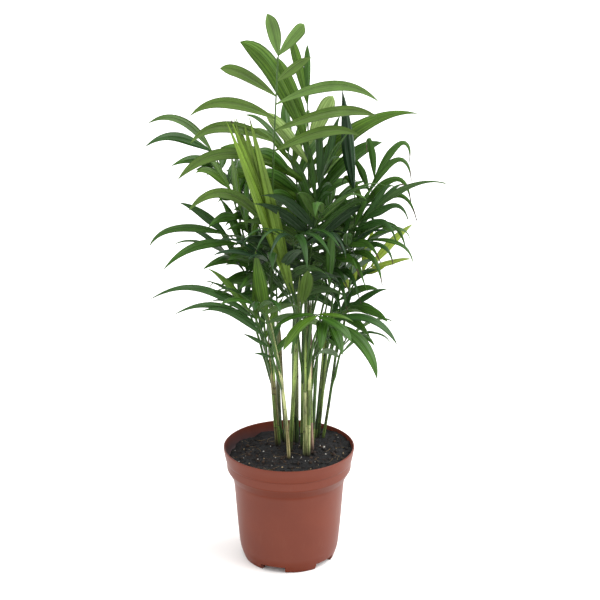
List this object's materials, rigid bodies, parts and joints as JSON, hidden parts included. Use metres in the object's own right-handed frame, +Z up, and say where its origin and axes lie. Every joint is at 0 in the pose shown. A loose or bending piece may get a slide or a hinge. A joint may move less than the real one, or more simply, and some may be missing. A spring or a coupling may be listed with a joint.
{
  "type": "potted parlour palm",
  "caption": "Potted parlour palm: a clump of slender upright stems carrying arching feathery fronds, standing in a round plastic nursery pot filled with compost.",
  "frame": {"origin": "middle of the pot's underside, on the plane its feet stand on", "axes": "+Z up the plant; -Y is the side the front foot of the pot is turned to; +X to the right seen from -Y"},
  "size_m": [0.264, 0.2038, 0.5072],
  "materials": {
    "terracotta_plastic": "satin moulded",
    "compost": "moist crumbly",
    "stem": "green satin bark",
    "leaf": "satin leaf"
  },
  "bodies": {
    "root": {"pot": "terracotta_plastic", "soil": "compost", "stem_cream": "stem", "stem_dark": "stem", "stem_fawn": "stem", "stem_green": "stem", "stem_grey": "stem", "stem_husk": "stem", "stem_left": "stem", "stem_moss": "stem", "stem_outer": "stem", "stem_pale": "stem", "stem_rear": "stem", "stem_russet": "stem", "stem_slim": "stem", "stem_spear": "stem", "stem_tall": "stem", "frond_back_high": "leaf", "frond_back_left": "leaf", "frond_back_low": "leaf", "frond_back_mid": "leaf", "frond_back_right": "leaf", "frond_blade": "leaf", "frond_folded": "leaf", "frond_front_left": "leaf", "frond_front_low": "leaf", "frond_front_right": "leaf", "frond_front_small": "leaf", "frond_left_back": "leaf", "frond_left_high": "leaf", "frond_left_inner": "leaf", "frond_left_low": "leaf", "frond_left_mid": "leaf", "frond_mid_front": "leaf", "frond_mid_high": "leaf", "frond_mid_left": "leaf", "frond_mid_right": "leaf", "frond_quill": "leaf", "frond_rear_low": "leaf", "frond_right_arm": "leaf", "frond_right_high": "leaf", "frond_right_inner": "leaf", "frond_right_lit": "leaf", "frond_right_low": "leaf", "frond_right_mid": "leaf", "frond_right_skirt": "leaf", "frond_sprout": "leaf", "frond_tall": "leaf", "frond_twin": "leaf"}
  },
  "joints": []
}
